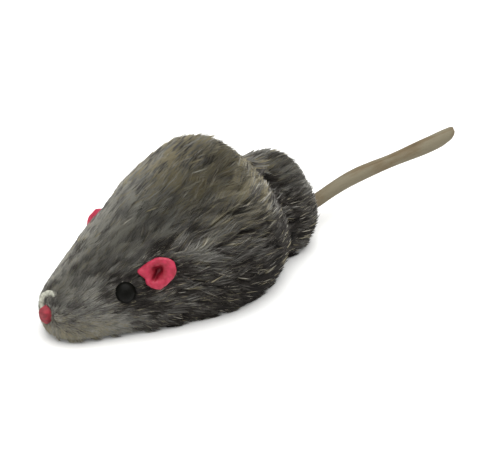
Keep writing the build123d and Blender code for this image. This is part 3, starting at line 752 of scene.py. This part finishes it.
    # Painted shade: hair darker round the left eye and the left ear, where they sink into the fur
    socket = maths(
        "MINIMUM",
        ramp(axis_distance(tree, place, middle_of("left_eye"), (1, 1, 1)), 3 * MM, 7.5 * MM, -0.28, 0.0),
        ramp(axis_distance(tree, place, middle_of("left_ear"), (1, 1, 1)), 4 * MM, 9 * MM, -0.20, 0.0),
    )
    for shift in (
        flank_painted_shade,
        rump_lift,
        socket,
        ramp(patch, 0.35, 0.65, -0.11, 0.11),
        maths("MULTIPLY_ADD", lock_shade, 0.28, -0.14),
        chance(-0.11, 0.11, seed + 5),
    ):
        level = maths("ADD", level, shift)
    level = add_node(tree, "ShaderNodeClamp", inputs={"Value": level, "Min": 0.03, "Max": 0.58}).outputs[0]
    top = ramp(height, 16 * MM, 29 * MM)
    olive_band = maths("MULTIPLY", top, ramp(from_nose, 0.30, 0.46))
    olive_band = maths("MULTIPLY", olive_band, ramp(from_nose, 0.70, 0.80, 1.0, 0.6))
    tuft = maths("MULTIPLY", ramp(height, 33 * MM, 35 * MM), ramp(sideways, -8 * MM, 1 * MM, 1.0, 0.0))
    olive_band = maths("MULTIPLY", olive_band, maths("SUBTRACT", 1.0, tuft))
    olive_chance = maths("MULTIPLY", olive_band, ramp(patch, 0.36, 0.6, 0.25, 0.85))
    olive_chance = maths("MAXIMUM", olive_chance, maths("MULTIPLY", chin, 0.65))
    olive_chance = maths("MAXIMUM", olive_chance, 0.05)
    is_olive = maths("LESS_THAN", chance(0.0, 1.0, seed + 6), olive_chance)
    olive = maths("MULTIPLY_ADD", lock_shade, 0.14, 0.64)
    silver_chance = ramp(from_nose, 0.2, 0.45, 0.008, 0.032)
    is_silver = maths("LESS_THAN", chance(0.0, 1.0, seed + 7), silver_chance)
    shade = add_node(
        tree,
        "GeometryNodeSwitch",
        {"input_type": "FLOAT"},
        {"Switch": is_olive, "False": level, "True": olive},
    )
    shade = add_node(
        tree,
        "GeometryNodeSwitch",
        {"input_type": "FLOAT"},
        {"Switch": is_silver, "False": shade.outputs[0], "True": chance(0.88, 0.99, seed + 8)},
    )

    source = add_node(tree, "GeometryNodeObjectInfo", {"transform_space": "ORIGINAL"})
    source.inputs["Object"].default_value = hair
    planted = add_node(
        tree,
        "GeometryNodeInstanceOnPoints",
        inputs={
            "Points": kept.outputs[0],
            "Instance": source.outputs["Geometry"],
            "Rotation": turn.outputs[0],
            "Scale": size,
        },
    )
    marked = add_node(
        tree,
        "GeometryNodeStoreNamedAttribute",
        {"data_type": "FLOAT", "domain": "INSTANCE"},
        {"Geometry": planted.outputs[0], "Name": "shade", "Value": shade.outputs[0]},
    )
    real = add_node(tree, "GeometryNodeRealizeInstances", inputs={"Geometry": marked.outputs[0]})
    own = add_node(
        tree, "GeometryNodeInputNamedAttribute", {"data_type": "FLOAT_VECTOR"}, {"Name": STRAND_MAP}
    )
    own_axes = add_node(tree, "ShaderNodeSeparateXYZ", inputs={"Vector": own.outputs[0]})
    tone = add_node(tree, "GeometryNodeInputNamedAttribute", {"data_type": "FLOAT"}, {"Name": "shade"})
    across = maths("MULTIPLY_ADD", own_axes.outputs[0], 0.012, tone.outputs[0])
    strand = add_node(tree, "ShaderNodeCombineXYZ", inputs={"X": across, "Y": own_axes.outputs[1]})
    mapped = add_node(
        tree,
        "GeometryNodeStoreNamedAttribute",
        {"data_type": "FLOAT2", "domain": "CORNER"},
        {"Geometry": real.outputs[0], "Name": STRAND_MAP, "Value": strand.outputs[0]},
    )
    # Hairs that reach the floor lie along it
    final = add_node(tree, "GeometryNodeInputPosition").outputs["Position"]
    final_axes = add_node(tree, "ShaderNodeSeparateXYZ", inputs={"Vector": final})
    depth = maths("DIVIDE", maths("SUBTRACT", final_axes.outputs[2], FLOOR_BAND), FLOOR_BAND)
    settled = maths("MULTIPLY_ADD", maths("EXPONENT", depth), 0.9 * FLOOR_BAND, 0.1 * FLOOR_BAND)
    below = maths("LESS_THAN", depth, 0.0)
    lifted = add_node(
        tree,
        "ShaderNodeCombineXYZ",
        inputs={"X": final_axes.outputs[0], "Y": final_axes.outputs[1], "Z": settled},
    )
    laid = add_node(
        tree,
        "GeometryNodeSetPosition",
        inputs={"Geometry": mapped.outputs[0], "Selection": below, "Position": lifted.outputs[0]},
    )
    bare = add_node(
        tree, "GeometryNodeRemoveAttribute", inputs={"Geometry": laid.outputs[0], "Name": "shade"}
    )
    add_node(tree, "NodeGroupOutput", inputs={0: bare.outputs[0]})
    return tree


def plant_fur(skin, hair, name, seed, test, material):
    """Copies the part of the skin that passes the test and grows a piece of fur on it."""
    patch = skin.copy()
    patch.data = skin.data.copy()
    patch.name = name
    bpy.context.collection.objects.link(patch)
    activate(patch)
    bpy.ops.object.mode_set(mode="EDIT")
    bpy.ops.mesh.select_mode(type="FACE")
    bpy.ops.mesh.select_all(action="DESELECT")
    bpy.ops.object.mode_set(mode="OBJECT")
    for polygon in patch.data.polygons:
        polygon.select = not test(polygon.center)
    bpy.ops.object.mode_set(mode="EDIT")
    bpy.ops.mesh.delete(type="FACE")
    bpy.ops.object.mode_set(mode="OBJECT")
    grow = patch.modifiers.new("grow", "NODES")
    grow.node_group = fur_tree(hair, seed)
    apply_modifiers(patch)
    patch.vertex_groups.clear()
    wear(patch, material)
    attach(patch, "body")
    return patch


# Start and end of each band of fur, as shares of the body length behind the nose
FUR_BANDS = {
    "head": (-0.02, 0.24), "neck": (0.24, 0.40), "shoulder": (0.40, 0.54),
    "haunch": (0.54, 0.68), "hip": (0.68, 0.80), "rump": (0.80, 1.10),
}


class MOUSE_OT_fur(bpy.types.Operator):
    """Make the hide and plant its fur"""

    bl_idname = "mouse.fur"
    bl_label = "Hide and fur"

    def execute(self, context):
        colours = context.scene.mouse_colours
        sizes = context.scene.mouse_sizes
        skin = make_skin()
        hair = make_hair()
        material = fur_material(colours)
        regions = {}
        for band, (start, end) in FUR_BANDS.items():
            front, rear = NOSE_X - start * BODY_LENGTH, NOSE_X - end * BODY_LENGTH
            for flank, turn in (("left", 1), ("right", -1)):
                regions[f"{flank}_{band}_fur"] = (
                    lambda p, front=front, rear=rear, turn=turn: rear < p.x <= front and turn * p.y > 0
                )
        for number, (name, test) in enumerate(regions.items()):
            plant_fur(skin, hair, name, 11 * number + 5, test, material)
        bpy.data.objects.remove(hair)
        thicken = skin.modifiers.new("thicken", "SOLIDIFY")
        thicken.thickness = sizes.hide_thickness
        thicken.offset = -1.0
        apply_modifiers(skin)
        bpy.ops.object.shade_smooth()
        wear(skin, hide_material(colours))
        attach(skin, "body")
        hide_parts("fur_cover")
        return {"FINISHED"}


# ---------------------------------------------------------------- ears, nose and tail

# Outline of an ear and the rings of its rolled band, in mm; across and up as seen from the camera
EAR_OUTLINE = [
    (-5.0, 0.3), (-3.8, 1.5), (-2.2, 2.6), (-0.5, 3.5), (1.3, 4.0), (3.1, 3.6), (4.5, 2.4), (4.8, 0.7),
    (4.1, -1.1), (2.9, -2.7), (1.3, -3.8), (
        -0.6, -4.1
    ), (-2.1, -3.5), (-2.7, -2.3), (-3.2, -1.1), (-4.2, -0.4),
]
EAR_RINGS = [
    (0.88, 1.3), (1.00, 0.9), (0.99, 0.60), (0.88, 0.45), (
        0.70, -0.05
    ), (0.50, -0.50), (0.34, -1.0), (0.22, -0.9),
]
EAR_HOLLOW = (0.1, 0.1, 0.0)
EAR_SLOT_RINGS = (0.70, 0.50, 0.34)
EAR_SLOT_TURN = math.radians(14)
# How far each ear stands clear of its CAD place, in mm, so that the pile does not bury it
EAR_PROUD = {"left_ear": (0.0, 0.0, 0.0), "right_ear": (0.2, -0.6, 1.3)}


def make_ear(name, node, outward, roll, size):
    """Ear rolled from a strip of leather into a pointed loop about a deep hollow."""
    deselect()
    bpy.ops.mesh.primitive_circle_add(
        vertices=len(EAR_OUTLINE), radius=4 * MM, fill_type="NGON", location=(0, 0, 0)
    )
    ear = bpy.context.object
    ear.name = name
    for vertex, (across, up) in zip(ear.data.vertices, EAR_OUTLINE):
        vertex.co = Vector((across * 0.5, up * 0.5, -2.6)) * MM
    bpy.ops.object.mode_set(mode="EDIT")
    bpy.ops.mesh.select_all(action="SELECT")
    share = 0.5
    for next_share, climb in EAR_RINGS:
        bpy.ops.mesh.extrude_region_move(TRANSFORM_OT_translate={"value": (0, 0, climb * MM)})
        ratio = next_share / share
        bpy.ops.transform.resize(
            value=(ratio, ratio, 1), center_override=tuple(c * MM for c in EAR_HOLLOW)
        )
        share = next_share
        if share in EAR_SLOT_RINGS:
            bpy.ops.transform.resize(
                value=(0.74, 1.06, 1), center_override=tuple(c * MM for c in EAR_HOLLOW)
            )
            bpy.ops.transform.rotate(
                value=EAR_SLOT_TURN, orient_axis="Z", center_override=tuple(c * MM for c in EAR_HOLLOW)
            )
    bpy.ops.mesh.select_all(action="SELECT")
    bpy.ops.mesh.normals_make_consistent(inside=False)
    bpy.ops.object.mode_set(mode="OBJECT")
    round_off = ear.modifiers.new("round_off", "SUBSURF")
    round_off.levels = round_off.render_levels = 3
    crumple(ear, "ear_ripple", 2.2 * MM, 0.8 * MM)
    apply_modifiers(ear)
    bpy.ops.object.shade_smooth()
    # Hollow mask for the painted shade inside the ear: near 0 deep in the hollow
    hollow = ear.data.attributes.new("hollow", "FLOAT", "POINT")
    for vertex in ear.data.vertices:
        centre_distance = (vertex.co.xy - Vector(EAR_HOLLOW).xy * MM).length
        depth = smooth_step(1.2 * MM, -0.9 * MM, vertex.co.z)
        inside = 1 - smooth_step(1.6 * MM, 3.0 * MM, centre_distance)
        hollow.data[vertex.index].value = 1 - depth * inside
    normal = Vector(outward).normalized()
    across = (Vector(roll) - Vector(roll).dot(normal) * normal).normalized()
    upward = normal.cross(across)
    turn = Matrix((across, upward, normal)).transposed().to_4x4()
    ear.matrix_world = Matrix.Translation(middle_of(node)) @ turn @ Matrix.Diagonal((*size, 1))
    settle(ear)
    face_outward(ear)
    return ear


def smooth_step(low, high, value):
    """Smooth rise from 0 at low to 1 at high, either way round."""
    t = min(max((value - low) / (high - low), 0.0), 1.0)
    return t * t * (3 - 2 * t)


class MOUSE_OT_ears(bpy.types.Operator):
    """Roll both ears"""

    bl_idname = "mouse.ears"
    bl_label = "Ears"

    def execute(self, context):
        material = ear_material(context.scene.mouse_colours)
        placings = {
            "left_ear": ((0.62, 0.62, 0.48), (-0.79, 0.61, 0), (1.0, 1.0, 1.0)),
            "right_ear": ((0.55, -0.30, 0.78), (-0.79, -0.61, 0), (0.92, 0.92, 0.92)),
        }
        for node, (outward, roll, size) in placings.items():
            ear = make_ear("rolled_" + node, node, outward, roll, size)
            ear.data.transform(Matrix.Translation(Vector(EAR_PROUD[node]) * MM))
            wear(ear, material)
            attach(ear, "body")
            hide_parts(node)
        return {"FINISHED"}


# Nose block and folded edge: sizes and places from the middle of the knob, in mm
NOSE_SIZE = (4.6, 2.9, 4.2)
NOSE_SHIFT = (-0.4, 0.1, -0.1)
NOSE_TILT = math.radians(-14)
FOLD_RADIUS, FOLD_THICKNESS = 2.4, 0.8
FOLD_SHIFT = (-1.3, -0.2, 2.2)
FOLD_NORMAL = (0.85, 0.30, 0.35)


class MOUSE_OT_nose(bpy.types.Operator):
    """Make the nose and the folded hide edge over it"""

    bl_idname = "mouse.nose"
    bl_label = "Nose"

    def execute(self, context):
        colours = context.scene.mouse_colours
        knob = middle_of("nose_front")
        deselect()
        bpy.ops.mesh.primitive_cube_add(size=1.0, location=(0, 0, 0))
        nose = context.object
        nose.name = "leather_nose"
        bpy.ops.transform.resize(value=tuple(side * MM for side in NOSE_SIZE))
        bpy.ops.transform.rotate(value=NOSE_TILT, orient_axis="Y", center_override=(0, 0, 0))
        bpy.ops.transform.translate(value=knob + Vector(NOSE_SHIFT) * MM)
        settle(nose)
        round_off = nose.modifiers.new("round_off", "BEVEL")
        round_off.width = 1.05 * MM
        round_off.segments = 5
        apply_modifiers(nose)
        smooth = nose.modifiers.new("smooth", "SUBSURF")
        smooth.levels = smooth.render_levels = 2
        crumple(nose, "nose_crumple", 1.6 * MM, 0.45 * MM)
        apply_modifiers(nose)
        bpy.ops.object.shade_smooth()
        base = linear(colours.nose)
        wear(nose, leather_material(
            "dyed_nose_leather", shaded(base, 0.6), shaded(base, 1.35),
            1.4 * MM, 0.3 * MM, 0.06 * MM, roughness=0.7,
        ))
        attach(nose, "body")
        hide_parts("nose")

        # Folded edge: the hide's rolled rim stands round the nose and over it
        deselect()
        bpy.ops.mesh.primitive_torus_add(
            major_segments=56, minor_segments=14, major_radius=FOLD_RADIUS * MM,
            minor_radius=FOLD_THICKNESS * MM, location=(0, 0, 0)
        )
        fold = context.object
        fold.name = "hide_fold"
        crumple(fold, "fold_wrinkle", 1.3 * MM, 0.5 * MM)
        apply_modifiers(fold)
        bpy.ops.object.shade_smooth()
        normal = Vector(FOLD_NORMAL).normalized()
        across = Vector((0, 1, 0)).cross(normal).normalized()
        turn = Matrix((across, normal.cross(across), normal)).transposed().to_4x4()
        fold.matrix_world = Matrix.Translation(knob + Vector(FOLD_SHIFT) * MM) @ turn
        settle(fold)
        wear(fold, edge_material(colours))
        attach(fold, "body")
        return {"FINISHED"}


TAIL_STEPS = 34
TAIL_ROUND = 28
# Half width and half height of the tail, in mm
TAIL_ACROSS, TAIL_UP = 1.85, 1.72


def tail_course():
    """Centre line of the frame's tail from its root to its tip."""
    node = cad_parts["tail"]
    places = [node.matrix_world @ vertex.co for vertex in node.data.vertices]
    middle_y = (TAIL_LOW.y + TAIL_HIGH.y) / 2
    course = []
    for step in range(TAIL_STEPS + 1):
        x = TAIL_HIGH.x + (TAIL_LOW.x - TAIL_HIGH.x) * step / TAIL_STEPS
        near = [place.z for place in places if abs(place.x - x) < 1.6 * MM]
        course.append(Vector((x, middle_y, (min(near) + max(near)) / 2)))
    for _ in range(3):
        course[1:-1] = [(a + 2 * b + c) / 4 for a, b, c in zip(course, course[1:], course[2:])]
    return course


class MOUSE_OT_tail(bpy.types.Operator):
    """Roll the tail from a strip of leather along the frame's tail"""

    bl_idname = "mouse.tail"
    bl_label = "Tail"

    def execute(self, context):
        colours = context.scene.mouse_colours
        course = tail_course()
        deselect()
        bpy.ops.mesh.primitive_circle_add(
            vertices=TAIL_ROUND, radius=1.0, fill_type="NGON", location=(0, 0, 0)
        )
        tail = context.object
        tail.name = "rolled_tail"
        bpy.ops.object.mode_set(mode="EDIT")
        for _ in range(TAIL_STEPS):
            bpy.ops.mesh.extrude_region_move(TRANSFORM_OT_translate={"value": (0, 0, 1.0)})
        bpy.ops.mesh.select_all(action="SELECT")
        bpy.ops.mesh.normals_make_consistent(inside=False)
        bpy.ops.object.mode_set(mode="OBJECT")
        # Each round of the tube moves to its place on the course, with the lapped seam winding about it
        # Seam mask for the painted shade along the seam in the tail material
        seam_shade = tail.data.attributes.new("seam_shade", "FLOAT", "POINT")
        for vertex in tail.data.vertices:
            step = round(vertex.co.z)
            share = step / TAIL_STEPS
            angle = math.atan2(vertex.co.y, vertex.co.x)
            seam_angle = 2.35 - 1.3 * share + 0.35 * math.sin(9 * share)
            away = math.remainder(angle - seam_angle, 2 * math.pi)
            lap = math.exp(-((away / 0.16) ** 2))
            lip = math.exp(-(((away - 0.42) / 0.3) ** 2))
            swell = 1 + 0.06 * math.sin(7.0 * share + 0.6) + 0.05 * math.sin(17.0 * share)
            taper = 0.93 + 0.10 * smooth_step(0.15, 0.5, share) - 0.16 * smooth_step(0.93, 1.0, share)
            radius = swell * taper * (1 - 0.15 * lap + 0.05 * lip)
            side_reach = radius * math.cos(angle) * TAIL_ACROSS * MM
            lift = radius * math.sin(angle) * TAIL_UP * MM
            ahead = course[min(step + 1, TAIL_STEPS)] - course[max(step - 1, 0)]
            ahead.normalize()
            aside = Vector((0, 1, 0))
            upward = aside.cross(ahead).normalized()
            slant = 1.15 * lift * smooth_step(0.90, 1.0, share)
            spot = course[step] + aside * side_reach + upward * lift
            vertex.co = spot - ahead * abs(slant) * 0.2 + ahead * slant
            seam_shade.data[vertex.index].value = lap
        face_outward(tail)
        smooth = tail.modifiers.new("smooth", "SUBSURF")
        smooth.levels = smooth.render_levels = 2
        apply_modifiers(tail)
        bpy.ops.object.shade_smooth_by_angle(angle=math.radians(50))
        wear(tail, tail_material(colours))
        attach(tail, "body")
        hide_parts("tail")
        return {"FINISHED"}


# ---------------------------------------------------------------- frame nodes

class MOUSE_OT_frame_finish(bpy.types.Operator):
    """Give the frame's own pieces their materials"""

    bl_idname = "mouse.frame_finish"
    bl_label = "Plastic and metal pieces"

    def execute(self, context):
        colours = context.scene.mouse_colours
        turned = metal_material("turned_steel", colours.steel, (1, 12, 1))
        stamped = metal_material("stamped_steel", colours.steel, (8, 1, 1), 0.36)
        brass = metal_material("stamped_brass", colours.brass, (6, 1, 1), 0.34)
        blued = metal_material("blued_spring_steel", colours.blued, (1, 9, 1), 0.3)
        shell = plastic_material("moulded_black_plastic", colours.shell)
        hub = plastic_material("moulded_red_plastic", colours.hub)
        roller = plastic_material("moulded_pale_plastic", colours.roller)
        rubber = rubber_material(colours)
        bead = bead_material(colours)
        finishes = {
            "body_shell": shell, "chassis": shell, "left_motor_plate": stamped, "right_motor_plate": stamped,
            "motor_pillars": turned, "chassis_screws": turned, "mainspring": blued, "winding_arbor": turned,
            "ratchet_wheel": stamped, "winding_key": stamped, "great_wheel": brass, "click": stamped,
            "click_rivet": turned, "click_spring": turned, "first_staff": turned, "first_wheel": brass,
            "second_staff": turned, "second_wheel": brass, "drive_axle": turned, "axle_pinion": turned,
            "left_wheel_hub": hub, "right_wheel_hub": hub, "left_tyre": rubber, "right_tyre": rubber,
            "rear_roller": roller, "roller_pin": turned, "left_eye": bead, "right_eye": bead,
            "eye_washers": turned,
        }
        for name, material in finishes.items():
            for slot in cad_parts[name].material_slots:
                slot.material = material
        return {"FINISHED"}


# ---------------------------------------------------------------- stage

VIEW_CENTRE = (-21.67, 5.74, 12.81)
VIEW_WIDTH = 121.65 * MM
VIEW_TURN, VIEW_TILT = math.radians(37.5), math.radians(34.0)
VIEW_DISTANCE = 1.6
SENSOR_WIDTH = 36.0
FLOOR_SIZE = 6.0
AIR_STRENGTH = 0.62
# Lights: name, place, size in metres and power in watts, all turned to LAMP_AIM
LAMP_AIM = (-0.008, 0.0, 0.015)
LAMPS = [
    ("overhead_softbox", (-0.10, -0.05, 0.95), 1.3, 17.0),
    ("front_softbox", (0.85, 0.30, 0.60), 0.7, 2.4),
    ("side_softbox", (-0.75, 0.65, 0.55), 0.7, 1.2),
]


class MOUSE_OT_stage(bpy.types.Operator):
    """Lay the pale floor, hang the lights and place the camera"""

    bl_idname = "mouse.stage"
    bl_label = "Floor, lights and camera"

    def execute(self, context):
        deselect()
        bpy.ops.mesh.primitive_plane_add(size=FLOOR_SIZE, location=(0, 0, 0))
        floor = context.object
        floor.name = "floor"
        material, tree, shader = new_material("pale_matt_board", roughness=0.9)
        place = object_coordinates(tree)
        white = linear("#F6F6F4")
        tree.links.new(
            colour_ramp(
                tree, noise_texture(tree, place, 0.4), [(0.3, shaded(white, 0.985)), (0.7, white)]
            ),
            shader.inputs["Base Color"],
        )
        wear(floor, material)

        for name, spot, size, power in LAMPS:
            bpy.ops.object.light_add(type="AREA", location=spot)
            lamp = context.object
            lamp.name = name
            lamp.data.size = size
            lamp.data.energy = power
            lamp.rotation_euler = (Vector(LAMP_AIM) - Vector(spot)).to_track_quat("-Z", "Y").to_euler()
        world = bpy.data.worlds.new("studio_air")
        context.scene.world = world
        world.use_nodes = True
        world.node_tree.nodes["Background"].inputs["Color"].default_value = (1.0, 1.0, 1.0, 1.0)
        world.node_tree.nodes["Background"].inputs["Strength"].default_value = AIR_STRENGTH

        right = Vector((-math.cos(VIEW_TURN), math.sin(VIEW_TURN), 0))
        up = Vector((
            -math.sin(VIEW_TURN) * math.sin(VIEW_TILT),
            -math.cos(VIEW_TURN) * math.sin(VIEW_TILT),
            math.cos(VIEW_TILT),
        ))
        back = right.cross(up)
        aim = Vector(VIEW_CENTRE) * MM
        bpy.ops.object.camera_add(location=aim + back * VIEW_DISTANCE)
        camera = context.object
        camera.name = "camera"
        camera.rotation_euler = Matrix((right, up, back)).transposed().to_euler()
        camera.data.sensor_width = SENSOR_WIDTH
        camera.data.lens = SENSOR_WIDTH * VIEW_DISTANCE / VIEW_WIDTH
        camera.data.clip_end = 20.0
        context.scene.camera = camera
        context.scene.view_settings.view_transform = "Standard"
        context.scene.view_settings.look = "None"
        return {"FINISHED"}


# ---------------------------------------------------------------- panel and registration

class MOUSE_PT_panel(bpy.types.Panel):
    """Buttons for each group of pieces"""

    bl_idname = "MOUSE_PT_panel"
    bl_label = "Clockwork Fur Mouse"
    bl_space_type = "VIEW_3D"
    bl_region_type = "UI"
    bl_category = "Mouse"

    def draw(self, context):
        for operator in OPERATORS:
            self.layout.operator(operator.bl_idname)
        for group in (context.scene.mouse_sizes, context.scene.mouse_colours):
            for name in group.__annotations__:
                self.layout.prop(group, name)


OPERATORS = [
    MOUSE_OT_fur, MOUSE_OT_ears, MOUSE_OT_nose, MOUSE_OT_tail, MOUSE_OT_frame_finish, MOUSE_OT_stage
]
CLASSES = [MouseSizes, MouseColours, *OPERATORS, MOUSE_PT_panel]


def register():
    for item in CLASSES:
        bpy.utils.register_class(item)
    bpy.types.Scene.mouse_sizes = bpy.props.PointerProperty(type=MouseSizes)
    bpy.types.Scene.mouse_colours = bpy.props.PointerProperty(type=MouseColours)


def unregister():
    del bpy.types.Scene.mouse_colours
    del bpy.types.Scene.mouse_sizes
    for item in reversed(CLASSES):
        bpy.utils.unregister_class(item)


def main():
    register()
    bpy.ops.mouse.fur()
    bpy.ops.mouse.ears()
    bpy.ops.mouse.nose()
    bpy.ops.mouse.tail()
    bpy.ops.mouse.frame_finish()
    bpy.ops.mouse.stage()


if __name__ == "__main__":
    main()
